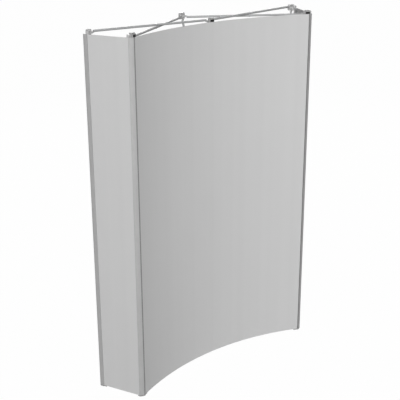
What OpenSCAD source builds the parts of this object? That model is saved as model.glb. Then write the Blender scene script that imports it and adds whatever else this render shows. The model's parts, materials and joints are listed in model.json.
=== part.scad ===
// Pop up display backwall: a curved scissor frame, two quads wide and three quads high,
// with graphic panels held on its front and ends by vertical panel bars.
// Units are millimetres. Z is up, the wall's hollow side faces -Y, and the origin is on the
// floor at the middle of the whole object.

/* [Frame] */
// Distance between the two pivot pins of a frame tube
tube_span = 750; // [600:10:900]
// Depth of the opened frame, from the front hub pins to the rear hub pins
frame_depth = 260; // [220:5:320]
// Angle between one hub column and the next, seen from above
column_angle = 24; // [16:1:28]
// Height of the lowest hub centres above the floor
first_hub_height = 33.5; // [30:0.5:60]

/* [Tubes] */
// Outside diameter of a frame tube
tube_d = 13; // [11:0.5:13]
// Wall of a frame tube
tube_wall = 1.2; // [0.8:0.1:2]
// Gap between two tubes where they cross
crossing_gap = 0.6; // [0.4:0.1:1]
// Diameter of the crossing rivets and of the hub pins
pin_d = 4; // [3:0.5:4]

/* [Hubs] */
// Distance from the hub centre to its left and right pivot pins
side_pin_reach = 18; // [18:0.5:24]
// Distance from the hub centre to its upper and lower pivot pins
upright_pin_reach = 14; // [14:0.5:20]
// Thickness of a tube's flat tongue
tongue_t = 5; // [4:0.5:5]
// Thickness of a hub ear beside a tongue
ear_t = 3.2; // [2:0.2:3.4]
// Width of the moulded hub plate
hub_w = 46; // [40:1:56]
// Height of the moulded hub plate
hub_h = 40; // [40:1:50]
// Thickness of the moulded hub plate
hub_plate_t = 7; // [5:0.5:9]
// Width of the black cap on a front hub
cap_w = 28; // [24:1:40]
// Height of the black cap on a front hub
cap_h = 32; // [26:1:38]
// Thickness of the black cap on a front hub
cap_t = 8.5; // [6:0.5:10]
// Diameter of the magnet in the cap
magnet_d = 18; // [10:1:22]
// Diameter of a foot's pad
foot_d = 36; // [24:1:44]
// Thickness of a foot's pad
foot_t = 6; // [4:0.5:8]

/* [Panels] */
// Height of the panels' top edge above the floor is this much under the top hub centres
panel_top_drop = 3; // [0:1:18]
// Height of the panels' lower edge above the floor
panel_bottom = 8; // [4:1:40]
// Thickness of a graphic panel
panel_t = 1.2; // [0.8:0.1:2]
// Thickness of the magnetic tape between panel and bar
tape_t = 1; // [0.5:0.1:1.5]
// Width of the magnetic tape
tape_w = 12; // [8:1:14]
// Gap between the two front panels at the middle bar
panel_gap = 0.6; // [0.4:0.1:2]

/* [Bars] */
// Thickness of a panel bar's flat strip
bar_t = 2.7; // [2:0.1:3]
// Width of the middle bar
bar_w = 40; // [32:1:60]
// Width of the slanted face of a front corner bar
corner_face_w = 38; // [34:1:44]
// How far the slanted face bulges out of flat
corner_bulge = 3; // [1.5:0.5:4]
// Thickness of the slanted face along its two edges
corner_edge_t = 1.2; // [0.8:0.1:1.4]
// Wall of a rear corner bar
rear_wall = 2.2; // [1.8:0.1:2.4]
// How far the rear edge of the end panels' bars lies behind the rear hub pins
rear_reach = 28; // [26:1:34]
// Width of the flat strip beside the nose of a rear corner bar
rear_flat = 20; // [14:1:24]
// Radius of the rounded nose on a rear corner bar
rear_nose_r = 10; // [6:0.5:10]
// Height of the bars' lower end caps above the floor
bar_clearance = 0.5; // [0.5:0.5:6]
// Height of an end cap on a bar
end_cap_h = 6; // [4:1:12]

/* [Hidden] */
$fn = 48;
running_fit = 0.1;  // radial play of a pin in its pivot hole
side_play = 0.3;    // gap between a tongue and each ear, and between flat faces that slide
open_play = 2;      // radial play at the pivots where the linkage is left open
open_side_play = 0.6;
collar_start = 9;   // from a tube's pin to its end's collar, and to the bare tube
collar_end = 12.5;
core_play = 1;      // extra room for a tongue's eye in front of the hub's core
plug_fit = 0.05;    // radial play of a plug in its tube
tape_play = 0.05;   // gap that keeps tape, panel and the pieces of a bar as separate faces
overlap = 1;        // how far fused shapes reach into each other
pin_head_d = pin_d + 3;
pin_head_h = 1.2;
rivet_head_d = pin_d + 4;
rivet_head_h = 1.8;

SIDES = ["left", "middle", "right"];
quads_high = 3;
rows = quads_high + 1;

// Frame geometry, opened
spread = acos(frame_depth * cos(column_angle / 2) / tube_span);  // level tubes, from the depth axis
lift = acos(frame_depth / tube_span);                            // rising tubes, from the depth axis
tube_offset = (tube_d + crossing_gap) / 2;
tube_far = tube_offset + tube_d / 2;
front_lean = spread + column_angle / 2;  // level tube that starts at the front middle hub
rear_lean = spread - column_angle / 2;   // level tube that starts at the rear middle hub
row_pitch = 2 * upright_pin_reach + tube_span * sin(lift);
hub_x = side_pin_reach * (1 + cos(column_angle)) + tube_span * sin(rear_lean);
hub_drop = tube_span * cos(rear_lean) - frame_depth + side_pin_reach * sin(column_angle);
front_radius = norm([hub_x, hub_drop]) / (2 * sin(column_angle / 2));
front_crossing = frame_depth * sin(rear_lean) / sin(front_lean + rear_lean);
rear_crossing = frame_depth * sin(front_lean) / sin(front_lean + rear_lean);

// Hub layers, measured forward from the pins
eye_r = 5.6;
ear_r = 6;
slot_w = tongue_t + 2 * side_play;
fork_w = slot_w + 2 * ear_t;
plate_back = 9;
plate_step = 1.5;   // thickness of the smaller step in front of the plate
plate_front = plate_back + hub_plate_t;
cap_face = plate_front + cap_t;
cap_rim = 1.2;      // step round the face of a cap
magnet_depth = cap_t / 2;
rear_face = plate_front;

// Panel and bar layers, measured forward from the front hub pins
bar_back = cap_face + side_play;
bar_face = bar_back + bar_t;
panel_back = bar_face + tape_t + 2 * tape_play;
panel_face = panel_back + panel_t;
skin_r = front_radius - panel_face;

// Front corner bar: its slanted face runs from the front plane to the end plane, and its flat
// back just clears the corners of a hub's plate and cap. Seats are measured as X less Y
corner_play = 0.16;
corner_out = 1;
corner_leg = corner_face_w / sqrt(2);
corner_y = -panel_face - corner_out - 0.5;
plate_corner = hub_w / 2 + plate_front - plate_step;
cap_corner = cap_w / 2 + cap_face - cap_rim;
corner_seat = max(plate_corner, cap_corner) + corner_play;
corner_x = corner_seat + corner_y + (corner_edge_t + tape_play) * sqrt(2);
corner_r = (pow(corner_face_w / 2, 2) + pow(corner_bulge, 2)) / (2 * corner_bulge);
corner_mid = [corner_x + corner_leg / 2, corner_y + corner_leg / 2];
corner_centre = corner_mid + (corner_r - corner_bulge) * [-1, 1] / sqrt(2);
corner_gap = 1.5;

// Layers of the ends, measured outward from an end column
end_offset = corner_x + corner_leg - corner_out;
end_back = end_offset - panel_t;
end_tape = end_back - tape_play;
leg_face = end_tape - tape_t - tape_play;
leg_t = 1.5;
leg_back = leg_face - leg_t;
block_face = leg_back - side_play;
leg_end = 9;        // how far a leg reaches past the hub pins, towards the middle of the end panel
rear_leg = 31;      // length of the leg of a rear corner bar
end_front = corner_y + corner_leg + corner_gap;
end_rear = frame_depth + rear_reach - rear_nose_r - rear_flat - corner_gap;

// Heights
function hub_z(row) = first_hub_height + (row - 1) * row_pitch;
skin_top = hub_z(rows) - panel_top_drop;
skin_h = skin_top - panel_bottom;
middle_bar_bottom = panel_bottom + 2;
tape_bottom = middle_bar_bottom + end_cap_h + 1;
tape_h = skin_top - tape_bottom;

// Depth of the whole object, which is centred on the origin
front_corner_y = -hub_drop - corner_x * sin(column_angle) + corner_y * cos(column_angle);
front_middle_y = -(frame_depth + rear_face + front_corner_y) / 2;

function front_hub_name(side, row) = str("front_hub_", side, "_", row);
function rear_hub_name(side, row) = str("rear_hub_", side, "_", row);
function level_tube_name(side, row, end) = str("level_tube_", side, "_", row, "_", end);
function rising_tube_name(side, row, end) = str("rising_tube_", side, "_", row, "_", end);

function turn(side) = side == "left" ? -1 : side == "right" ? 1 : 0;

// ---------- places ----------

// Puts a piece in a hub column, at its front pins: X runs along the wall, Y to the rear
module in_column(side) {
    way = turn(side);
    translate([way * hub_x, front_middle_y - abs(way) * hub_drop, 0])
        rotate([0, 0, -way * column_angle]) children();
}

module at_front_hub(side, row) {
    in_column(side) translate([0, 0, hub_z(row)]) children();
}

module at_rear_hub(side, row) {
    in_column(side) translate([0, frame_depth, hub_z(row)]) children();
}

// Both end columns, with +X outward
module each_end() {
    for (side = ["left", "right"])
        in_column(side) mirror([side == "left" ? 1 : 0, 0, 0]) children();
}

// ---------- hubs ----------

// One fork: two ears round a pin, reaching back to the plate. The pin stands along Z at the origin
module fork() {
    difference() {
        linear_extrude(fork_w, center = true) union() {
            circle(ear_r);
            translate([-ear_r, -plate_back - overlap]) square([2 * ear_r, plate_back + overlap]);
        }
        translate([-ear_r - overlap, -plate_back, -slot_w / 2])
            cube([2 * (ear_r + overlap), plate_back + ear_r + overlap, slot_w]);
        cylinder(d = pin_d + 2 * plug_fit, h = fork_w + overlap, center = true);
    }
}

// Places the four forks of a hub; forks 0 and 2 hold level tubes, 1 and 3 rising tubes
module at_fork(index) {
    reach = index % 2 == 0 ? side_pin_reach : upright_pin_reach;
    rotate([0, -90 * index, 0]) translate([reach, 0, 0])
        children();
}

module rounded_plate(width, height, corner_radius, thickness) {
    rotate([90, 0, 0]) linear_extrude(thickness) union() {
        square([width - 2 * corner_radius, height], center = true);
        square([width, height - 2 * corner_radius], center = true);
        for (x = [-1, 1]) for (z = [-1, 1])
            translate([x * (width / 2 - corner_radius), z * (height / 2 - corner_radius)])
                circle(corner_radius);
    }
}

// Four webs that stay in the corners between the forks, from the core to the plate's corners
module hub_webs(core_w, core_h) {
    web_t = 2;
    web_reach = 10;
    web_end = 3.5;
    for (x = [0, 1]) for (z = [0, 1]) mirror([x, 0, 0]) mirror([0, 0, z])
        translate([core_w / 2, -web_end, core_h / 2]) rotate([90, 0, 0])
            linear_extrude(plate_back + overlap - web_end) rotate(45)
                translate([-2 * overlap, -web_t / 2]) square([web_reach + 2 * overlap, web_t]);
}

// Moulded body: a plate with a lighter step in front and a round recess in the middle of it,
// four forks, and a core and webs between them
module hub_body() {
    core_w = 2 * (side_pin_reach - ear_r - core_play);
    core_h = 2 * (upright_pin_reach - ear_r - core_play);
    core_end = 2;
    step_in = 2;
    corner = 9;
    recess_d = magnet_d;
    recess_depth = 1;
    difference() {
        union() {
            translate([0, -plate_back, 0])
                rounded_plate(hub_w, hub_h, corner, hub_plate_t - plate_step);
            translate([0, -plate_front + plate_step, 0])
                rounded_plate(hub_w - 2 * step_in, hub_h - 2 * step_in, corner - step_in, plate_step);
            translate([-core_w / 2, -plate_back - overlap, -core_h / 2])
                cube([core_w, plate_back + overlap + core_end, core_h]);
            hub_webs(core_w, core_h);
            for (index = [0:3]) at_fork(index) fork();
        }
        translate([0, -plate_front - overlap, 0]) rotate([-90, 0, 0])
            cylinder(d = recess_d, h = recess_depth + overlap);
    }
}

// Headed pin through a fork
module hub_pin() {
    union() {
        cylinder(d = pin_d, h = fork_w + 2 * plug_fit, center = true);
        for (way = [-1, 1]) translate([0, 0, way * (fork_w / 2 + plug_fit + pin_head_h / 2)])
            cylinder(d = pin_head_d, h = pin_head_h, center = true);
    }
}

// Black cap that takes the magnet, on a front hub
module hub_cap() {
    corner = 4;
    difference() {
        union() {
            translate([0, -plate_front, 0]) rounded_plate(cap_w, cap_h, corner, cap_t - cap_rim);
            translate([0, -cap_face + cap_rim, 0])
                rounded_plate(cap_w - 2 * cap_rim, cap_h - 2 * cap_rim, corner, cap_rim);
        }
        translate([0, -cap_face - overlap, 0]) rotate([-90, 0, 0])
            cylinder(d = magnet_d + 2 * plug_fit, h = magnet_depth + overlap);
    }
}

module cap_magnet() {
    translate([0, -cap_face, 0]) rotate([-90, 0, 0]) cylinder(d = magnet_d, h = magnet_depth);
}

// Tongue that fills a fork, along +X from the pin
module tongue(hole_d, thickness, reach) {
    difference() {
        linear_extrude(thickness, center = true) union() {
            circle(eye_r);
            translate([0, -eye_r]) square([reach, 2 * eye_r]);
        }
        cylinder(d = hole_d, h = thickness + overlap, center = true);
    }
}

// Foot under a lowest hub, pinned in its lower fork
module foot(height) {
    stem_d = 14;
    pad_chamfer = 1.5;
    stem_top = height - max(hub_h / 2, upright_pin_reach + ear_r) - side_play;
    union() {
        translate([0, 0, -height]) {
            cylinder(d1 = foot_d - 2 * pad_chamfer, d2 = foot_d, h = pad_chamfer);
            translate([0, 0, pad_chamfer]) cylinder(d = foot_d, h = foot_t - pad_chamfer);
            cylinder(d = stem_d, h = stem_top);
        }
        at_fork(3) tongue(pin_d + 2 * running_fit, tongue_t, height - upright_pin_reach - foot_t / 2);
    }
}

// Magnet block in the free outer fork of an end column's hub. Its front stays behind the flat
// back of the slanted face
module side_block() {
    block_h = 24;
    block_d = 15;
    block_front = max(-block_d / 2, block_face - corner_seat + corner_play);
    block_back = side_pin_reach + ear_r + side_play;
    union() {
        at_fork(0) tongue(pin_d + 2 * running_fit, tongue_t, block_back - side_pin_reach + overlap);
        translate([block_back, block_front, -block_h / 2])
            cube([block_face - block_back, block_d / 2 - block_front, block_h]);
    }
}

// Forks that hold something: in the top row nothing rises from the upper one
function used_forks(row) = row < rows ? [0, 1, 2, 3] : [0, 2, 3];

module hub(side, row) {
    color("lightgray") hub_body();
    color("silver") for (index = used_forks(row)) at_fork(index) hub_pin();
    if (row == 1) color("dimgray") foot(first_hub_height);
    if (side != "middle") color("black") mirror([side == "left" ? 1 : 0, 0, 0]) side_block();
}

module front_hub(side, row) {
    at_front_hub(side, row) {
        hub(side, row);
        color("black") hub_cap();
        color("gray") cap_magnet();
    }
}

module rear_hub(side, row) {
    at_rear_hub(side, row) mirror([0, 1, 0]) hub(side, row);
}

// ---------- tubes ----------

// Moulded end of a tube: a tongue on the pin, and a plug beside it in the tube
module tube_end(open) {
    spigot = 20;
    thickness = open ? tongue_t - 2 * (open_side_play - side_play) : tongue_t;
    hole_d = pin_d + 2 * (open ? open_play : running_fit);
    union() {
        tongue(hole_d, thickness, collar_end);
        translate([collar_start, -eye_r, -thickness / 2])
            cube([collar_end - collar_start, 2 * eye_r, tube_offset + thickness / 2]);
        translate([collar_start, 0, tube_offset]) rotate([0, 90, 0])
            cylinder(d = tube_d, h = collar_end - collar_start);
        translate([collar_end, 0, tube_offset]) rotate([0, 90, 0])
            cylinder(d = tube_d - 2 * tube_wall - 2 * plug_fit, h = spigot);
    }
}

// Stub rivet, where the crossing shifts along the tubes as the frame folds: each tube
// of the pair keeps its own, and they part between the tubes
module stub_rivet() {
    stub_end = crossing_gap / 2 - 0.05;
    translate([0, 0, stub_end]) cylinder(d = pin_d, h = tube_far - stub_end + rivet_head_h / 2);
    translate([0, 0, tube_far]) cylinder(d = rivet_head_d, h = rivet_head_h);
}

// Rivet of two rising tubes that stay crossed at their middles: it is fixed in the first
// and goes through the second
module through_rivet() {
    far_head = tube_far + side_play;
    translate([0, 0, -far_head]) cylinder(d = pin_d, h = tube_far + far_head);
    translate([0, 0, tube_far]) cylinder(d = rivet_head_d, h = rivet_head_h);
    translate([0, 0, -far_head - rivet_head_h]) cylinder(d = rivet_head_d, h = rivet_head_h);
}

// A frame tube from its first pin at the origin to its second along +X, drilled at its crossing.
// An open end has more room on its pin; crossing_fit is the radial play in the drilled hole
module frame_tube(crossing_at, crossing_fit, open_end) {
    color("silver") difference() {
        translate([collar_end + plug_fit, 0, tube_offset]) rotate([0, 90, 0])
            difference() {
                cylinder(d = tube_d, h = tube_span - 2 * (collar_end + plug_fit));
                translate([0, 0, -1]) cylinder(d = tube_d - 2 * tube_wall, h = tube_span);
            }
        translate([crossing_at, 0, -1]) cylinder(d = pin_d + 2 * crossing_fit, h = 4 * tube_offset);
    }
    color("darkgray") tube_end(false);
    color("darkgray") translate([tube_span, 0, 0]) mirror([1, 0, 0]) tube_end(open_end);
}

// Level tube from a middle hub to the opposite hub of an end column
module level_tube(side, row, end) {
    from_front = end == "front";
    lean = from_front ? 90 - front_lean : rear_lean - 90;
    y = from_front ? 0 : frame_depth;
    crossing = from_front ? front_crossing : rear_crossing;
    in_column("middle") mirror([side == "left" ? 1 : 0, 0, 0])
        translate([side_pin_reach, y, hub_z(row)]) rotate([0, 0, lean])
            mirror([0, 0, from_front ? 0 : 1]) {
                frame_tube(crossing, plug_fit, false);
                color("gray") translate([crossing, 0, 0]) stub_rivet();
            }
}

// Rising tube from a hub to the opposite hub one row up. The far end is an open pivot in the end columns
module rising_tube(side, row, end) {
    from_front = end == "front";
    y = from_front ? 0 : frame_depth;
    open = side != "middle";
    hole_fit = from_front || open ? plug_fit : running_fit;
    in_column(side) translate([0, y, hub_z(row) + upright_pin_reach])
        mirror([0, from_front ? 0 : 1, 0]) rotate([0, 0, 90]) rotate([0, -lift, 0])
            rotate([90, 0, 0]) mirror([0, 0, from_front ? 1 : 0]) {
                frame_tube(tube_span / 2, hole_fit, open);
                color("gray") translate([tube_span / 2, 0, 0]) {
                    if (open) stub_rivet();
                    if (!open && from_front) through_rivet();
                }
            }
}

// ---------- panels ----------

// Part of a ring, seen from above, between two angles from the middle of the wall
module arc_sheet(inner_r, thickness, from, to) {
    far = inner_r * 1.2;
    intersection() {
        difference() {
            circle(inner_r + thickness, $fn = 360);
            circle(inner_r, $fn = 360);
        }
        polygon([[0, 0], far * [sin(from), cos(from)], far * [sin(to), cos(to)]]);
    }
}

module about_wall_centre() {
    translate([0, front_middle_y - front_radius, 0]) children();
}

function along_skin(length) = length / skin_r * 180 / PI;

// Two curved front panels and two flat end panels
module panel_sheets() {
    edge = column_angle + along_skin(corner_x - corner_gap);
    half_gap = panel_gap / 2;
    about_wall_centre() for (way = [0, 1]) mirror([way, 0, 0])
        translate([0, 0, panel_bottom]) linear_extrude(skin_h)
            arc_sheet(skin_r, panel_t, along_skin(half_gap), edge);
    each_end() translate([end_back, end_front, panel_bottom])
        cube([panel_t, end_rear - end_front, skin_h]);
}

// Magnetic tape on the panels' backs, where they lie on the bars
module panel_tapes() {
    tape_y = -bar_face - tape_play - tape_t;
    edge_margin = 2;
    for (way = [0, 1]) in_column("middle") mirror([way, 0, 0])
        translate([edge_margin, tape_y, tape_bottom]) cube([tape_w, tape_t, tape_h]);
    each_end() {
        translate([corner_x - corner_gap - edge_margin - tape_w, tape_y, tape_bottom])
            cube([tape_w, tape_t, tape_h]);
        translate([leg_face + tape_play, end_front + edge_margin / 2, tape_bottom])
            cube([tape_t, leg_end - end_front - edge_margin, tape_h]);
        translate([leg_face + tape_play, end_rear - edge_margin - tape_w, tape_bottom])
            cube([tape_t, tape_w, tape_h]);
    }
}

module graphic_panels() {
    color("gainsboro") panel_sheets();
    color("dimgray") panel_tapes();
}

// ---------- bars ----------

// Slanted face of a front corner bar, seen from above: flat behind, bulging in front
module corner_face() {
    back = corner_r - corner_bulge - corner_edge_t;
    translate(corner_centre) rotate(-45) intersection() {
        circle(corner_r, $fn = 180);
        translate([back, -corner_face_w / 2]) square([corner_r - back, corner_face_w]);
    }
}

// Front corner bar, seen from above: the slanted face, with the strip on the hub caps and the
// leg behind the end panel set against its flat back
module front_bar_profile() {
    strip_in = -bar_w / 2;
    union() {
        corner_face();
        polygon([
            [strip_in, -bar_face],
            [corner_seat - bar_face, -bar_face],
            [corner_seat - bar_back, -bar_back],
            [strip_in, -bar_back]
        ]);
        polygon([
            [leg_back, leg_back - corner_seat],
            [leg_face, leg_face - corner_seat],
            [leg_face, leg_end],
            [leg_back, leg_end]
        ]);
    }
}

// Rear corner bar, seen from above with the rear pins at the origin: an outer strip that ends in
// a rounded nose, and a leg behind the end panel with a web across to the strip
module rear_bar_profile() {
    outer = end_offset + corner_out;
    inner = outer - rear_wall;
    nose_x = outer - rear_nose_r;
    nose_y = rear_reach - rear_nose_r;
    flat_start = nose_y - rear_flat;
    union() {
        translate([inner, flat_start]) square([rear_wall, rear_flat]);
        translate([nose_x, nose_y]) intersection() {
            difference() {
                circle(rear_nose_r);
                circle(rear_nose_r - rear_wall);
            }
            square(2 * rear_nose_r);
        }
        translate([leg_back, leg_end - rear_leg]) square([leg_t, rear_leg]);
        translate([leg_back, flat_start]) square([inner - tape_play - leg_back, leg_t]);
    }
}

// A bar that stands on a cap of its own outline
module bar_and_cap(cap_bottom) {
    cap_top = cap_bottom + end_cap_h;
    color("silver") translate([0, 0, cap_top]) linear_extrude(skin_top - cap_top) children();
    color("black") translate([0, 0, cap_bottom]) linear_extrude(end_cap_h - tape_play) children();
}

// Middle bar, which ends out of sight behind the seam, and the four corner bars
module panel_bars() {
    in_column("middle") bar_and_cap(middle_bar_bottom)
        translate([-bar_w / 2, -bar_face]) square([bar_w, bar_t]);
    each_end() bar_and_cap(bar_clearance) front_bar_profile();
    each_end() bar_and_cap(bar_clearance) translate([0, frame_depth]) rear_bar_profile();
}

for (side = SIDES) for (row = [1:rows]) {
    front_hub(side, row);
    rear_hub(side, row);
}
for (end = ["front", "rear"]) {
    for (side = ["left", "right"]) for (row = [1:rows])
        level_tube(side, row, end);
    for (side = SIDES) for (row = [1:quads_high])
        rising_tube(side, row, end);
}
graphic_panels();
panel_bars();
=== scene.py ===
# %% [markdown]
# # A curved pop up display wall
#
# The real object is a folding frame of crossed tubes and moulded hubs. Magnets hold vertical bars
# on its front hubs, and thin blank panels cling to the bars. This file dresses the measured frame
# with finished pieces: panels, bars, hubs and tubes, each with its own material.
#
# The frame comes first. It gives every piece its place, so nothing here has to be fitted by eye.

# %% Load the frame
import json
import math
import bmesh
import bpy
from mathutils import Matrix, Vector

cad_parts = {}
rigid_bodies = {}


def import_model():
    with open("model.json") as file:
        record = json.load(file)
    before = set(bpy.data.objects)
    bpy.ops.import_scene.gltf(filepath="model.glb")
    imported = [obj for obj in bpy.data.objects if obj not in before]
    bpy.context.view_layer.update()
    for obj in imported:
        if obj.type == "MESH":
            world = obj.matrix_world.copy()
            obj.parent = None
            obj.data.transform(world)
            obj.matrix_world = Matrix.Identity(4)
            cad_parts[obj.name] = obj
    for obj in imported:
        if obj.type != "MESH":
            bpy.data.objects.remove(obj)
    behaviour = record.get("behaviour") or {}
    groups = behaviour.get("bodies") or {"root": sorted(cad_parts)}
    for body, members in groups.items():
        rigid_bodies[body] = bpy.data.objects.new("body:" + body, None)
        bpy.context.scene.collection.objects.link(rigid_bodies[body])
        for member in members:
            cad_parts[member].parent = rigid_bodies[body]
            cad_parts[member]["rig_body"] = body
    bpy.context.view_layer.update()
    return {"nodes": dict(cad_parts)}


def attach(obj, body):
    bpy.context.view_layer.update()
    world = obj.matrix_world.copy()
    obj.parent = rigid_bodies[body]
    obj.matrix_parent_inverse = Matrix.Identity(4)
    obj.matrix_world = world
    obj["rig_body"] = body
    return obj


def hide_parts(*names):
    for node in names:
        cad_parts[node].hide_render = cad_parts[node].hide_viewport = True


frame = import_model()

# %% [markdown]
# ## Sizes that the pieces share
#
# The wall's plan is a rule: the hubs stand in columns, each turned 24 degrees from the next, and
# the front panels lie on one circle round a point in front of the wall. These few values, in
# metres and radians, give every place that the pieces need. Hubs are 0.75 m apart along a tube,
# and the rows follow from that.

# %% Sizes of the frame
TUBE_SPAN = 0.750
DEPTH = 0.260
TURN = math.radians(24)
SIDE_REACH = 0.018
UPRIGHT_REACH = 0.014
FIRST_ROW = 0.0335
SPREAD = math.acos(DEPTH * math.cos(TURN / 2) / TUBE_SPAN)
ROW_PITCH = 2 * UPRIGHT_REACH + TUBE_SPAN * math.sin(math.acos(DEPTH / TUBE_SPAN))
HUB_X = SIDE_REACH * (1 + math.cos(TURN)) + TUBE_SPAN * math.sin(SPREAD - TURN / 2)
HUB_DROP = TUBE_SPAN * math.cos(SPREAD - TURN / 2) - DEPTH + SIDE_REACH * math.sin(TURN)
FRONT_Y = -0.05066
SIDES = {"left": -1, "middle": 0, "right": 1}
ROWS = (1, 2, 3, 4)

FRONT_RADIUS = math.hypot(HUB_X, HUB_DROP) / (2 * math.sin(TURN / 2))
WALL_CENTRE_Y = FRONT_Y - FRONT_RADIUS
PANEL_FACE = 0.0298
PANEL_T = 0.0012
PANEL_BOTTOM = 0.008
PANEL_TOP_BELOW_HUB = 0.003
PANEL_TOP = FIRST_ROW + 3 * ROW_PITCH - PANEL_TOP_BELOW_HUB
SKIN_R = FRONT_RADIUS - PANEL_FACE

row_heights = [round(FIRST_ROW + (row - 1) * ROW_PITCH, 4) for row in ROWS]
print("rows", row_heights, "side hubs at", round(HUB_X, 4))


def column(side):
    """The place of a hub column's front pins: X runs along the wall and Y to the rear."""
    way = SIDES[side]
    place = Matrix.Translation((way * HUB_X, FRONT_Y - abs(way) * HUB_DROP, 0))
    return place @ Matrix.Rotation(-way * TURN, 4, "Z")


def hub_place(side, row, end):
    """The centre of a hub, with Y pointing away from its outer face towards the frame."""
    height = FIRST_ROW + (row - 1) * ROW_PITCH
    if end == "front":
        return column(side) @ Matrix.Translation((0, 0, height))
    mirror = Matrix.Scale(-1, 4, (0, 1, 0))
    return column(side) @ Matrix.Translation((0, DEPTH, height)) @ mirror


# %% [markdown]
# ## Camera
#
# The photograph looks down on the wall from the front left, from about one and a third times its
# height. A long lens keeps the uprights nearly parallel. The place and the lens were worked out
# from the wall's corners, so the render can be laid over the photograph.

# %% Camera
CAMERA_AT = Vector((-3.3387, -4.0729, 3.0040))
HEADING, DOWN, ROLL = math.radians(39.004), math.radians(20.084), math.radians(-0.262)
LENS, SENSOR, FAR = 78.245, 36, 2000


def link(thing):
    """Puts a new object into the scene."""
    bpy.context.scene.collection.objects.link(thing)
    return thing


camera = link(bpy.data.objects.new("camera", bpy.data.cameras.new("camera")))
camera.data.lens, camera.data.sensor_width = LENS, SENSOR
camera.data.clip_end = FAR
camera.matrix_world = (
    Matrix.Translation(CAMERA_AT)
    @ Matrix.Rotation(-HEADING, 4, "Z")
    @ Matrix.Rotation(math.pi / 2 - DOWN, 4, "X")
    @ Matrix.Rotation(ROLL, 4, "Z"))
bpy.context.scene.camera = camera
bpy.context.scene.view_settings.view_transform = "Standard"
print("camera at", [round(v, 2) for v in CAMERA_AT], "lens", LENS)

# %% [markdown]
# ## Writing node trees as expressions
#
# A material is a graph of nodes. Written node by node it is long and hard to read, so a small
# class wraps a socket and lets sums be written on it. A writer makes the nodes of one tree: it
# takes a node's type, its settings, and the values or links of its sockets. The same writer serves
# the materials, the sky and the shapes that geometry nodes build.

# %% A small tree writer
class Wire:
    """A socket that sums can be written on."""

    def __init__(self, writer, socket):
        self.writer, self.socket = writer, socket

    def sum(self, operation, first, second):
        return self.writer.add("Math", {"operation": operation}, {0: first, 1: second})

    def __add__(self, other): return self.sum("ADD", self, other)
    def __sub__(self, other): return self.sum("SUBTRACT", self, other)
    def __rsub__(self, other): return self.sum("SUBTRACT", other, self)
    def __mul__(self, other): return self.sum("MULTIPLY", self, other)


class Writer:
    """Makes the nodes of one tree. A short kind, such as Math, is a shader node."""

    def __init__(self, tree):
        self.tree = tree

    def make(self, kind, settings=None, inputs=None):
        kind = kind if "Node" in kind else "ShaderNode" + kind
        node = self.tree.nodes.new(kind)
        for name, value in (settings or {}).items():
            setattr(node, name, value)
        for name, value in (inputs or {}).items():
            self.feed(node.inputs[name], value)
        return node

    def feed(self, socket, value):
        """Links a wire or a socket, or sets a value; a colour may leave its alpha out."""
        value = value.socket if isinstance(value, Wire) else value
        if isinstance(value, bpy.types.NodeSocket):
            self.tree.links.new(value, socket)
        elif socket.type == "RGBA":
            socket.default_value = (*value, 1)
        else:
            socket.default_value = value

    def add(self, kind, settings=None, inputs=None, output=0):
        return Wire(self, self.make(kind, settings, inputs).outputs[output])


print("wire:", Wire.__doc__, "writer:", Writer.__doc__)


# %% A material writer
class Finish(Writer):
    """One material: its shader, and the patterns that feed it."""

    def __init__(self, name, **constants):
        self.material = bpy.data.materials.new(name)
        self.material.use_nodes = True
        super().__init__(self.material.node_tree)
        self.tree.nodes.clear()
        self.shader = self.make("BsdfPrincipled", {}, constants)
        self.output = self.make("OutputMaterial", {}, {"Surface": self.shader.outputs[0]})

    def set(self, **wires):
        """Feeds the shader; underscores in the sockets' names stand for spaces."""
        for name, wire in wires.items():
            self.feed(self.shader.inputs[name.replace("_", " ")], wire)
        return self.material

    def place(self, stretch=(1, 1, 1), attribute=None):
        """The point on the piece, stretched, or one of its own attributes."""
        if attribute:
            here = self.add("Attribute", {"attribute_name": attribute}, output=1)
        else:
            here = self.add("TexCoord", output=3)
        return self.add("VectorMath", {"operation": "MULTIPLY"}, {0: here, 1: stretch})

    def noise(self, where, scale, detail=2.0, roughness=0.5):
        inputs = {"Vector": where, "Scale": scale, "Detail": detail, "Roughness": roughness}
        return self.add("TexNoise", {}, inputs)

    def spread(self, value, low, high, out_low=0.0, out_high=1.0):
        """Rescales a value, and holds it between its ends."""
        inputs = {0: value, 1: low, 2: high, 3: out_low, 4: out_high}
        return self.add("MapRange", {"clamp": True}, inputs)

    def mix(self, factor, first, second):
        inputs = {0: factor, 6: first, 7: second}
        return self.add("Mix", {"data_type": "RGBA"}, inputs, output=2)

    def bump(self, height, strength, distance):
        inputs = {"Height": height, "Strength": strength, "Distance": distance}
        return self.add("Bump", {}, inputs)


def grey(value, tint=0.0):
    """A grey with a touch of blue (tint above 0) or of warmth (below 0)."""
    return (value * (1 - tint), value, value * (1 + tint))


print("a grey with a touch of blue:", grey(0.5, 0.01))
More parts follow.
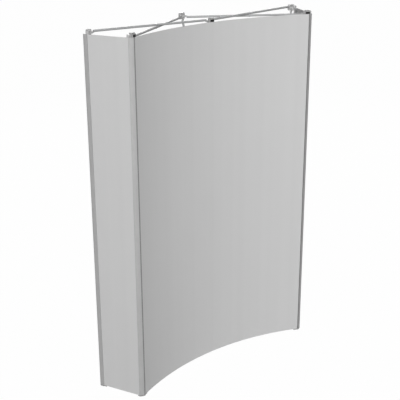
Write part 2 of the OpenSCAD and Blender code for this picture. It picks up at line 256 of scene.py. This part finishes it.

# %% [markdown]
# ## Materials of the panels
#
# The panels are thin plastic sheets with a matt laminate, delivered on a roll. Close up they have
# a fine emboss that kills the gloss. From a step away their colour and gloss carry faint upright
# bands; in the colour these are painted shade, which stands for the flat facets of the curved
# sheet. The bands follow the sheet, so the noise is stretched along Z. Their backs are a slightly
# darker layer that stops light from shining through; it shows in the photograph above the right
# end, as a wedge of mid grey.

# %% Panel laminate and tape
def laminate(name, tone, uneven=0.015):
    """A matt sheet with faint upright bands, painted shade in its colour, and a fine emboss."""
    finish = Finish(name, Roughness=0.55, **{"Specular IOR Level": 0.35})
    bands = finish.noise(finish.place((14, 14, 0.05)), 1.0, 3.0)
    clouds = finish.noise(finish.place((1, 1, 0.6)), 2.2, 2.0)
    grain = finish.noise(finish.place(), 1500, 2.0)
    # The bands in the colour are painted shade, standing for the facets of a curved sheet.
    shade = finish.spread(bands * 0.6 + clouds * 0.4, 0.35, 0.65)
    colour = finish.mix(shade, grey(tone * (1 - uneven)), grey(tone * (1 + uneven)))
    rough = finish.spread(grain + bands * 0.4, 0.4, 1.0, 0.48, 0.62)
    return finish.set(Base_Color=colour, Roughness=rough, Normal=finish.bump(grain, 0.06, 0.0002))


def tape_finish():
    """Dark rubbery tape with fine lines along it."""
    finish = Finish("magnetic_tape", Roughness=0.7)
    lines = finish.noise(finish.place((900, 900, 2)), 1.0, 1.0)
    colour = finish.mix(lines, (0.018, 0.015, 0.013), (0.04, 0.034, 0.03))
    return finish.set(Base_Color=colour, Normal=finish.bump(lines, 0.3, 0.0002))


PANEL = laminate("panel_laminate", 0.66)
PANEL_BACK = laminate("panel_back_layer", 0.60)
TAPE = tape_finish()
print("panel materials:", PANEL.name, PANEL_BACK.name, TAPE.name)

# %% [markdown]
# ## Materials of the frame
#
# Tubes are drawn aluminium with a satin anodised skin: fine lines run along the tube, so the
# pattern follows two values that each tube carries, the way along it and the way round it. Hubs,
# caps and tube ends are moulded plastic with a spark-eroded grain, and so is the painted face of
# the corner bars. Pins and rivets are turned steel, and the magnets are nickel plated.

# %% Frame metals and plastics
def drawn_metal(name, tone, rough, lines_per_turn, metal):
    """Satin aluminium with fine lines along the piece, from its own 'along' attribute."""
    finish = Finish(name, Metallic=metal, Roughness=rough)
    stretch = (1.5, lines_per_turn, lines_per_turn)
    lines = finish.noise(finish.place(stretch, "along"), 1.0, 3.0, 0.7)
    marks = finish.noise(finish.place(), 35, 3.0)
    shade = finish.spread(lines * 0.6 + marks * 0.4, 0.3, 0.7)
    colour = finish.mix(shade, grey(tone * 0.88, 0.01), grey(tone * 1.06, 0.01))
    shine = finish.spread(lines * 0.7 + marks * 0.3, 0.25, 0.75, rough - 0.08, rough + 0.1)
    return finish.set(Base_Color=colour, Roughness=shine, Normal=finish.bump(lines, 0.12, 0.0001))


def moulded(name, tone, rough, grain_size=2600, uneven=0.1, gloss=0.45):
    """Grained plastic with slightly uneven colour."""
    finish = Finish(name, Roughness=rough, **{"Specular IOR Level": gloss})
    grain = finish.noise(finish.place(), grain_size, 2.0)
    flow = finish.noise(finish.place((1, 1, 0.4)), 60, 3.0)
    shade = finish.spread(flow, 0.35, 0.7)
    colour = finish.mix(shade, grey(tone * (1 - uneven)), grey(tone * (1 + uneven)))
    shine = finish.spread(grain * 0.5 + flow * 0.5, 0.3, 0.7, rough - 0.07, rough + 0.08)
    return finish.set(Base_Color=colour, Roughness=shine, Normal=finish.bump(grain, 0.22, 0.0002))


def turned_steel(name, tone, rough):
    """Bare metal with small stains."""
    finish = Finish(name, Metallic=1.0, Roughness=rough)
    spots = finish.noise(finish.place(), 900, 3.0)
    colour = finish.mix(spots, grey(tone * 0.85), grey(tone))
    shine = finish.spread(spots, 0.3, 0.7, rough - 0.06, rough + 0.1)
    return finish.set(Base_Color=colour, Roughness=shine)


TUBE = drawn_metal("tube_aluminium", 0.44, 0.45, lines_per_turn=90, metal=0.15)
BAR = drawn_metal("bar_aluminium", 0.50, 0.42, lines_per_turn=60, metal=0.55)
CORNER = moulded("corner_profile", 0.46, 0.36, uneven=0.03, gloss=0.9)
# The dark strip along a corner profile's inner edge is painted shade of the gap at the front panel.
GAP_SHADE = moulded("corner_lip", 0.23, 0.55, uneven=0.05)
HUB = moulded("hub_plastic", 0.58, 0.45, uneven=0.05)
HUB_CAP = moulded("cap_body_plastic", 0.42, 0.45, uneven=0.05)
CAP = moulded("cap_plastic", 0.018, 0.4)
TUBE_END = moulded("tube_end_plastic", 0.44, 0.45, uneven=0.05)
END_CAP = moulded("end_cap_plastic", 0.30, 0.5)
FOOT = moulded("foot_rubber", 0.035, 0.62, grain_size=1800)
STEEL = turned_steel("pin_steel", 0.6, 0.3)
MAGNET = turned_steel("magnet_nickel", 0.66, 0.22)
print("materials:", len(bpy.data.materials))

# %% [markdown]
# ## From frame node to finished pieces
#
# A node of the frame holds several solids: a hub has its body, pins, cap and magnet. A copy of the
# node's mesh is merged, and split where it falls apart, so that every solid can get its own
# material. The copy leaves the frame itself as it was.

# %% Splitting a node into its solids
MERGE_WITHIN = 2e-6


def connected_to(start, seen):
    """All points that edges connect with this one, marked as seen."""
    seen.add(start.index)
    group, waiting = [], [start]
    while waiting:
        vert = waiting.pop()
        group.append(vert)
        for edge in vert.link_edges:
            other = edge.other_vert(vert)
            if other.index not in seen:
                seen.add(other.index)
                waiting.append(other)
    return group


def copy_of(group):
    """A new bmesh with these points and their faces."""
    part = bmesh.new()
    twin = {vert.index: part.verts.new(vert.co) for vert in group}
    faces = {face for vert in group for face in vert.link_faces}
    for face in sorted(faces, key=lambda f: f.index):
        part.faces.new([twin[v.index] for v in face.verts])
    return part


def solids_of(node):
    """The solids of a frame node, each as a new bmesh."""
    whole = bmesh.new()
    whole.from_mesh(frame["nodes"][node].data)
    bmesh.ops.remove_doubles(whole, verts=whole.verts, dist=MERGE_WITHIN)
    whole.verts.ensure_lookup_table()
    seen, parts = set(), []
    for start in whole.verts:
        if start.index not in seen:
            parts.append(copy_of(connected_to(start, seen)))
    whole.free()
    return parts


def span(solid, into=Matrix.Identity(4)):
    """Lowest and highest corner of a solid, seen from another place."""
    points = [into @ vert.co for vert in solid.verts]
    low = Vector([min(p[i] for p in points) for i in range(3)])
    return low, Vector([max(p[i] for p in points) for i in range(3)])


example = solids_of("front_hub_left_1")
print("solids in one front hub:", len(example))
for solid in example:
    solid.free()

# %% [markdown]
# ## Making and dressing pieces
#
# The solids that belong together become one piece. Its sharp moulded and sawn edges get a small
# bevel, because no real edge is a knife edge. Then the piece is told which body it moves with, and
# the node of the frame that it stands for is hidden.

# %% Making and dressing pieces
ROUND_FROM = math.radians(30)


def smooth(mesh):
    """Round faces shade smoothly, and real edges stay sharp."""
    mesh.polygons.foreach_set("use_smooth", [True] * len(mesh.polygons))
    mesh.set_sharp_from_angle(angle=ROUND_FROM)


def piece_from(name, solids, bevel):
    """One object from (solid, material) pairs, with small bevels on its sharp edges."""
    mesh, joined = bpy.data.meshes.new(name), bmesh.new()
    finishes = []
    for solid, finish in solids:
        if finish not in finishes:
            finishes.append(finish)
        for face in solid.faces:
            face.material_index = finishes.index(finish)
        part = bpy.data.meshes.new("part")
        solid.to_mesh(part)
        joined.from_mesh(part)
        bpy.data.meshes.remove(part)
        solid.free()
    joined.to_mesh(mesh)
    joined.free()
    for finish in finishes:
        mesh.materials.append(finish)
    smooth(mesh)
    piece = link(bpy.data.objects.new(name, mesh))
    if bevel:
        edge = piece.modifiers.new("eased_edges", "BEVEL")
        edge.width, edge.segments, edge.limit_method = bevel, 2, "ANGLE"
        edge.angle_limit, edge.harden_normals = ROUND_FROM, True
        edge.use_clamp_overlap = True
    return piece


def paint(piece, finish, chosen):
    """Gives another finish to the faces that chosen() picks."""
    piece.data.materials.append(finish)
    last = len(piece.data.materials) - 1
    for face in piece.data.polygons:
        if chosen(face):
            face.material_index = last


def dress(piece, node):
    """The piece moves with the node's body and stands for the node."""
    body = frame["nodes"][node]["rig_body"]
    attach(piece, body)
    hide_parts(node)
    return piece


print("edges sharper than", round(math.degrees(ROUND_FROM)), "degrees get a bevel")

# %% [markdown]
# ## Attributes that follow a tube
#
# A tube's lines have to run along it, whatever way it leans. So each point of a tube stores how
# far along the tube it lies and where it lies round the middle, and the material reads that.

# %% Storing the way along a piece
ON_AXIS = 1e-6


def store_along(piece, start, end):
    """Writes 'along' on the points: distance from start, and the way out from the axis."""
    axis = (end - start).normalized()
    across = axis.orthogonal().normalized()
    third = axis.cross(across)
    values = []
    for vert in piece.data.vertices:
        out = vert.co - start
        length = out.dot(axis)
        out -= axis * length
        if out.length > ON_AXIS:
            out.normalize()
        values += [length, out.dot(across) / math.tau, out.dot(third) / math.tau]
    layer = piece.data.attributes.new("along", "FLOAT_VECTOR", "POINT")
    layer.data.foreach_set("vector", values)


print("a point stores", store_along.__doc__)

# %% [markdown]
# ## Tubes
#
# Thirty-four tubes of one length cross in pairs: level ones between the columns, rising ones in
# each column. A tube has a moulded tongue plugged into each end and a rivet where it crosses its
# partner. The longest solid of a node is the tube, and the two furthest from its middle are ends.

# %% Tubes
TUBE_BEVEL = 0.0003


def make_tube(node):
    """A tube with its two ends and its rivet."""
    solids = solids_of(node)
    boxes = [span(solid) for solid in solids]
    middles = [(low + high) / 2 for low, high in boxes]
    every = range(len(solids))
    tube = max(every, key=lambda i: (boxes[i][1] - boxes[i][0]).length)
    far = sorted(every, key=lambda i: -(middles[i] - middles[tube]).length)[:2]
    looks = [TUBE if i == tube else TUBE_END if i in far else STEEL for i in every]
    piece = piece_from(node + "_dressed", list(zip(solids, looks)), TUBE_BEVEL)
    store_along(piece, middles[far[0]], middles[far[1]])
    return dress(piece, node)


tubes = [make_tube(node) for node in sorted(frame["nodes"]) if "tube" in node]
print("tubes:", len(tubes), "faces in one:", len(tubes[0].data.polygons))

# %% [markdown]
# ## Hubs
#
# A hub is a moulded plate with four forks behind it. A front hub also carries a grey cap with a
# black face and a magnet, which takes the bars. The lowest hubs have round feet, and the outer
# columns have grey magnet blocks towards the end panels. Each solid is known by where it lies
# round the hub: X to the side, Y away from the outer face, and Z up from the hub's middle. The
# cap's front is black, but only below its upper edge, so the cap is scored there and then painted.

# %% Hubs
HUB_BEVEL = 0.0005
FOOT_BELOW = -0.030
BLOCK_REACH = 0.0262
CAP_BEFORE, MAGNET_ENDS = -0.0200, -0.0165
BODY_WIDTH = 0.03
CAP_FACE_FROM = -0.0230
CAP_BLACK_TOP = 0.0110


def hub_look(solid, into, row, end):
    """The material of a solid, from its place in the hub."""
    low, high = span(solid, into)
    if row == 1 and low.z < FOOT_BELOW:
        return FOOT
    if max(abs(low.x), abs(high.x)) > BLOCK_REACH:
        return HUB
    if end == "front" and low.y < CAP_BEFORE:
        return HUB_CAP if high.y > MAGNET_ENDS else MAGNET
    return HUB if high.x - low.x > BODY_WIDTH else STEEL


def score(solid, point):
    """Cuts the faces of a solid along a level line, and keeps both sides."""
    everything = solid.verts[:] + solid.edges[:] + solid.faces[:]
    bmesh.ops.bisect_plane(solid, geom=everything, plane_co=point, plane_no=(0, 0, 1))


def paint_cap(piece, into):
    """Blackens the front of the cap up to the line where it was scored."""
    cap = list(piece.data.materials).index(HUB_CAP)

    def is_black(face):
        here = into @ face.center
        in_front = face.material_index == cap and here.y < CAP_FACE_FROM
        return in_front and here.z < CAP_BLACK_TOP

    paint(piece, CAP, is_black)


def make_hub(side, row, end):
    """A hub with its pins, and the cap, magnet, block or foot that it carries."""
    node = f"{end}_hub_{side}_{row}"
    place = hub_place(side, row, end)
    into = place.inverted()
    solids = [(solid, hub_look(solid, into, row, end)) for solid in solids_of(node)]
    for solid, look in solids:
        if look == HUB_CAP:
            score(solid, place @ Vector((0, 0, CAP_BLACK_TOP)))
    piece = piece_from(node + "_dressed", solids, HUB_BEVEL)
    if end == "front":
        paint_cap(piece, into)
    return dress(piece, node)


hubs = [make_hub(side, row, end) for end in ("front", "rear") for side in SIDES for row in ROWS]
print("hubs:", len(hubs), "faces in one:", len(hubs[0].data.polygons))

# %% [markdown]
# ## Front panels
#
# Each front panel is a thin sheet bent to part of a circle, so a rule gives its whole shape: an
# arc, a height and a thickness. Geometry nodes suit that well. A flat grid is laid twice, once on
# the front of the sheet and once on its back, and every column of points stands for an angle.

# %% A writer for shapes
class Shape(Writer):
    """A geometry node tree with named inputs."""

    def __init__(self, name, inputs):
        super().__init__(bpy.data.node_groups.new(name, "GeometryNodeTree"))
        self.keys = {label: self.add_socket(label, "INPUT", kind) for label, kind in inputs.items()}
        self.add_socket("Geometry", "OUTPUT", "Geometry")
        self.inside = self.make("NodeGroupInput")

    def add_socket(self, label, way, kind):
        """A new socket of the whole tree; returns the name that a modifier knows it by."""
        kind = "NodeSocket" + kind
        return self.tree.interface.new_socket(name=label, in_out=way, socket_type=kind).identifier

    def value(self, label):
        return Wire(self, self.inside.outputs[label])

    def between(self, first, last, part):
        """The value that lies a part of the way from one input to another."""
        return self.value(first) + part * (self.value(last) - self.value(first))

    def grid(self, columns):
        """A flat grid of two rows, and how far each point lies across and up, from -0.5 to 0.5."""
        sizes = {"Size X": 1.0, "Size Y": 1.0, "Vertices X": columns, "Vertices Y": 2}
        grid = self.add("GeometryNodeMeshGrid", {}, sizes)
        parts = self.make("SeparateXYZ", {}, {0: self.add("GeometryNodeInputPosition")})
        return grid, Wire(self, parts.outputs[0]), Wire(self, parts.outputs[1])

    def laid(self, grid, x, y, z):
        """The grid with its points moved to these places."""
        place = self.add("CombineXYZ", {}, {0: x, 1: y, 2: z})
        inputs = {"Geometry": grid, "Position": place}
        return self.add("GeometryNodeSetPosition", {}, inputs)

    def finish(self, front, back):
        """Ends the tree: the back turned over, all made real, and the material set."""
        over = self.add("GeometryNodeFlipFaces", {}, {0: back})
        both = self.make("GeometryNodeJoinGeometry", {}, {0: over})
        self.feed(both.inputs[0], front)
        real = self.add("GeometryNodeRealizeInstances", {}, {0: both.outputs[0]})
        inputs = {"Geometry": real, "Material": self.value("Material")}
        done = self.add("GeometryNodeSetMaterial", {}, inputs)
        self.make("NodeGroupOutput", {}, {0: done})
        return self

    def run(self, name, **values):
        """Evaluates the tree with these inputs and returns the result as a plain mesh object."""
        holder = link(bpy.data.objects.new(name, bpy.data.meshes.new(name)))
        live = holder.modifiers.new(name, "NODES")
        live.node_group = self.tree
        for label, value in values.items():
            live[self.keys[label.replace("_", " ")]] = value
        graph = bpy.context.evaluated_depsgraph_get()
        plain = bpy.data.meshes.new_from_object(holder.evaluated_get(graph), depsgraph=graph)
        holder.modifiers.remove(live)
        old, holder.data = holder.data, plain
        bpy.data.meshes.remove(old)
        plain.name = name
        finishes = [finish for finish in plain.materials if finish]
        plain.materials.clear()
        for finish in finishes:
            plain.materials.append(finish)
        return holder


print("shape:", Shape.__doc__)


# %% The bent sheet
def bent_sheet_tree():
    """Part of a cylinder's wall, between two angles and two heights."""
    shape = Shape("bent_sheet", {
        "Radius": "Float", "Start": "Float", "End": "Float", "Bottom": "Float", "Top": "Float",
        "Thickness": "Float", "Centre": "Float", "Columns": "Int", "Material": "Material"})
    grid, across, up = shape.grid(shape.value("Columns"))
    angle = shape.between("Start", "End", across + 0.5)
    height = shape.between("Bottom", "Top", up + 0.5)
    sine = shape.add("Math", {"operation": "SINE"}, {0: angle})
    cosine = shape.add("Math", {"operation": "COSINE"}, {0: angle})

    def skin(radius):
        return shape.laid(grid, radius * sine, shape.value("Centre") + radius * cosine, height)

    front = shape.value("Radius")
    return shape.finish(skin(front), skin(front + shape.value("Thickness")))


bent_sheet = bent_sheet_tree()
print("nodes in the bent sheet:", len(bent_sheet.tree.nodes))

# %% [markdown]
# The tree leaves the sheet open along its rim, because its front and back are two separate grids.
# The rim is closed afterwards, and the faces that look to the rear get the darker layer.

# %% Front panels
CORNER_W, CORNER_GAP = 0.038, 0.0015
CORNER_LEG = CORNER_W / math.sqrt(2)
END_OFFSET, CORNER_OUT = 0.034, 0.001
CORNER_X = END_OFFSET + CORNER_OUT - CORNER_LEG
HALF_SEAM = 0.0003
SHEET_COLUMNS = 97
SAME_WAY = 0.7


def close_rim(piece):
    """Joins the front and the back of a sheet along its rim, with faces pointing out."""
    mesh = bmesh.new()
    mesh.from_mesh(piece.data)
    rim = [edge for edge in mesh.edges if edge.is_boundary]
    bmesh.ops.bridge_loops(mesh, edges=rim)
    bmesh.ops.recalc_face_normals(mesh, faces=mesh.faces)
    mesh.to_mesh(piece.data)
    mesh.free()
    smooth(piece.data)


def is_behind(face):
    """A face of a bent sheet that looks away from the middle of the curve."""
    out = Vector((face.center.x, face.center.y - WALL_CENTRE_Y, 0)).normalized()
    return face.normal.dot(out) > SAME_WAY


panel_edge = TURN + (CORNER_X - CORNER_GAP) / SKIN_R
front_panels = []
for side in ("left", "right"):
    way = SIDES[side]
    piece = bent_sheet.run(
        f"front_panel_{side}", Radius=SKIN_R, Start=way * HALF_SEAM / SKIN_R, End=way * panel_edge,
        Bottom=PANEL_BOTTOM, Top=PANEL_TOP, Thickness=PANEL_T, Centre=WALL_CENTRE_Y,
        Columns=SHEET_COLUMNS, Material=PANEL)
    close_rim(piece)
    paint(piece, PANEL_BACK, is_behind)
    front_panels.append(dress(piece, "graphic_panels"))
print("front panels:", [len(p.data.polygons) for p in front_panels])

# %% [markdown]
# ## End panels and tape
#
# The end panels are flat sheets, and dark magnetic tape runs up the back of every sheet where it
# lies on a bar. Both come straight from the frame's node. The curved sheets, which are the widest
# solids from left to right, are left out, because they are made above. The end panels are the
# ones that reach far to the rear, and all others are tape.

# %% End panels and tape
CURVED_WIDTH, END_WIDTH = 0.3, 0.15
PANEL_BEVEL = 0.0002


def sort_panels():
    """The end panels and the tapes among the node's solids."""
    ends, tapes = [], []
    for solid in solids_of("graphic_panels"):
        low, high = span(solid)
        size = high - low
        if size.x > CURVED_WIDTH:
            solid.free()
        else:
            (ends if size.y > END_WIDTH else tapes).append(solid)
    return ends, tapes


end_solids, tape_solids = sort_panels()
for solid in end_solids:
    side = "left" if span(solid)[1].x < 0 else "right"
    piece = piece_from(f"end_panel_{side}", [(solid, PANEL)], PANEL_BEVEL)
    inward = column(side).to_3x3() @ Vector((-SIDES[side], 0, 0))
    paint(piece, PANEL_BACK, lambda face: face.normal.dot(inward) > SAME_WAY)
    dress(piece, "graphic_panels")
tape = piece_from("panel_tapes", [(solid, TAPE) for solid in tape_solids], 0)
dress(tape, "graphic_panels")
print("end panels:", len(end_solids), "tapes:", len(tape_solids))

# %% [markdown]
# ## Ribbed corner profiles
#
# The slanted corner face between a front panel and an end panel is a long plastic profile: flat
# behind, bulging in front, with fine ribs that run its whole height. One rule gives the section at
# every point across it, so it is a second geometry node tree: an arc, less a small wave for the
# ribs, in front of a flat back. Every column of points is straight from foot to top. A narrow strip
# along the edge that meets the front panel is painted dark: painted shade of the gap there.

# %% The ribbed profile
CORNER_BULGE, CORNER_EDGE = 0.003, 0.0012
CORNER_R = ((CORNER_W / 2) ** 2 + CORNER_BULGE ** 2) / (2 * CORNER_BULGE)
CORNER_PROUD = 0.0015
CORNER_FRONT = PANEL_FACE + CORNER_PROUD
# Width of the painted shade along the inner edge of a corner profile.
GAP_SHADE_W = 0.007
RIBS, RIB_HEIGHT, STEPS_PER_RIB = 9, 0.0004, 9
BAR_BOTTOM = 0.0065


def ribbed_tree():
    """A bulging strip whose front waves in and out across its width."""
    shape = Shape("ribbed_profile", {
        "Width": "Float", "Arc radius": "Float", "Back": "Float", "Ribs": "Float",
        "Rib height": "Float", "Bottom": "Float", "Top": "Float", "Material": "Material"})
    grid, across, up = shape.grid(RIBS * STEPS_PER_RIB + 1)
    height = shape.between("Bottom", "Top", up + 0.5)
    x, radius = across * shape.value("Width"), shape.value("Arc radius")
    arc = shape.add("Math", {"operation": "SQRT"}, {0: radius * radius - x * x})
    turn = (across + 0.5) * shape.value("Ribs") * math.tau
    wave = shape.add("Math", {"operation": "COSINE"}, {0: turn})
    front_y = arc - (1 - wave) * 0.5 * shape.value("Rib height")
    front = shape.laid(grid, x, front_y, height)
    return shape.finish(front, shape.laid(grid, x, shape.value("Back"), height))


def corner_place(side):
    """The middle of the arc of a corner profile, with Y out through the middle of its face."""
    out = END_OFFSET + CORNER_OUT - CORNER_LEG / 2
    middle = Vector((out, -CORNER_FRONT + CORNER_LEG / 2, 0))
    centre = middle + (CORNER_R - CORNER_BULGE) * Vector((-1, 1, 0)) / math.sqrt(2)
    mirror = Matrix.Scale(SIDES[side], 4, (1, 0, 0))
    slant = Matrix.Rotation(math.radians(-135), 4, "Z")
    return column(side) @ mirror @ Matrix.Translation(centre) @ slant


ribbed = ribbed_tree()
for side in ("left", "right"):
    profile = ribbed.run(
        f"corner_profile_{side}", Width=CORNER_W, Arc_radius=CORNER_R,
        Back=CORNER_R - CORNER_BULGE - CORNER_EDGE, Ribs=float(RIBS), Rib_height=RIB_HEIGHT,
        Bottom=BAR_BOTTOM, Top=PANEL_TOP, Material=CORNER)
    profile.data.transform(corner_place(side))
    close_rim(profile)
    into = corner_place(side).inverted()
    # Faces near the edge that meets the front panel get the painted shade of the gap.
    paint(profile, GAP_SHADE, lambda face: (into @ face.center).x > CORNER_W / 2 - GAP_SHADE_W)
    dress(profile, "panel_bars")
    print(profile.name, "faces:", len(profile.data.polygons))

# %% [markdown]
# ## Bars
#
# The other parts of the bars keep their measured shape: the flat bar behind the seam, the strips
# and legs behind the panels' edges, the rounded profiles behind the end panels, and the grey caps
# under them. Each kind gets its own piece, so that metal, painted profile and cap differ. The
# slanted solids of the front corner bars are left out, because the ribbed profiles stand for them.

# %% Bars
BAR_BEVEL = 0.0003
CAP_HEIGHT, MIDDLE_X = 0.05, 0.3
PROFILE_SIZE, PROFILE_BEFORE = 0.02, -0.02
REAR_SIZE, REAR_FROM = 0.008, 0.2


def bar_kind(solid):
    """Sorts a solid of the bars by its size in the column where it stands."""
    low, high = span(solid)
    if high.z - low.z < CAP_HEIGHT:
        return "cap"
    if abs(low.x + high.x) / 2 < MIDDLE_X:
        return "strip"
    side = "left" if low.x < 0 else "right"
    low, high = span(solid, column(side).inverted())
    size = high - low
    if min(size.x, size.y) > PROFILE_SIZE and low.y < PROFILE_BEFORE:
        return "profile"
    return "rear" if size.x > REAR_SIZE and low.y > REAR_FROM else "strip"


kinds = {"cap": [], "strip": [], "profile": [], "rear": []}
for solid in solids_of("panel_bars"):
    kinds[bar_kind(solid)].append(solid)
for solid in kinds.pop("profile"):
    solid.free()
for kind, finish in (("cap", END_CAP), ("strip", BAR), ("rear", CORNER)):
    piece = piece_from(f"bar_{kind}s", [(solid, finish) for solid in kinds[kind]], BAR_BEVEL)
    store_along(piece, Vector((0, 0, 0)), Vector((0, 0, 1)))
    dress(piece, "panel_bars")
print("bar solids:", {kind: len(solids) for kind, solids in kinds.items()})

# %% [markdown]
# ## Floor and light
#
# A large soft lamp at the front left makes the curve read, and a weaker one behind the right end
# keeps the frame from sinking into the dark. The camera sees the pale floor and the background as
# white, as in the photograph, while the object itself is lit at a plain level. A small part of the
# floor's own shading stays in, so the wall keeps a faint shadow.

# %% Floor
FLOOR_HALF, FLOOR_DROP = 500, 0.0002
FLOOR_GREY, FLOOR_WHITE_PART = 0.55, 0.987
WHITE = (1.0, 1.0, 1.0)


def floor_finish():
    """White for the camera, apart from a small part of its own shading."""
    finish = Finish("floor", Roughness=0.8, **{"Base Color": grey(FLOOR_GREY)})
    ray = finish.make("LightPath")
    plain = finish.make("Emission", {}, {"Color": WHITE, "Strength": 1.0})
    seen = Wire(finish, ray.outputs["Is Camera Ray"]) * FLOOR_WHITE_PART
    both = {0: seen, 1: finish.shader.outputs[0], 2: plain.outputs[0]}
    finish.feed(finish.output.inputs["Surface"], finish.add("MixShader", {}, both))
    return finish.material


def make_floor():
    """A floor that reaches past the horizon of every view."""
    half = FLOOR_HALF
    corners = [(-half, -half, 0), (half, -half, 0), (half, half, 0), (-half, half, 0)]
    mesh = bpy.data.meshes.new("floor")
    mesh.from_pydata(corners, [], [(0, 1, 2, 3)])
    mesh.materials.append(floor_finish())
    floor = link(bpy.data.objects.new("floor", mesh))
    floor.location.z = -FLOOR_DROP


make_floor()
print("floor:", 2 * FLOOR_HALF, "m wide")

# %% Light
SKY = 0.075
KEY_WATTS, FILL_WATTS = 1430, 210


def make_sky():
    """White for the camera and in reflections, and dim where it lights."""
    world = bpy.data.worlds.new("studio")
    bpy.context.scene.world = world
    world.use_nodes = True
    world.node_tree.nodes.clear()
    sky = Writer(world.node_tree)
    ray = sky.make("LightPath")
    rays = {0: ray.outputs["Is Camera Ray"], 1: ray.outputs["Is Glossy Ray"]}
    seen = sky.add("Math", {"operation": "ADD", "use_clamp": True}, rays)
    lit = sky.add("Background", {}, {"Color": WHITE, "Strength": SKY})
    plain = sky.add("Background", {}, {"Color": WHITE, "Strength": 1.0})
    mixed = sky.add("MixShader", {}, {0: seen, 1: lit, 2: plain})
    sky.make("OutputWorld", {}, {"Surface": mixed})


def make_lamp(name, place, target, size, watts):
    """A round soft lamp that looks at a target."""
    lamp = link(bpy.data.objects.new(name, bpy.data.lights.new(name, "AREA")))
    lamp.data.shape, lamp.data.size, lamp.data.energy = "DISK", size, watts
    lamp.location = place
    lamp.rotation_mode = "QUATERNION"
    lamp.rotation_quaternion = (Vector(target) - Vector(place)).to_track_quat("-Z", "Y")


make_sky()
make_lamp("key", (-7.6, -10.9, 6.0), (0, 0, 1.3), 5.0, KEY_WATTS)
make_lamp("fill", (4.2, 5.2, 3.4), (0, 0, 1.1), 3.0, FILL_WATTS)
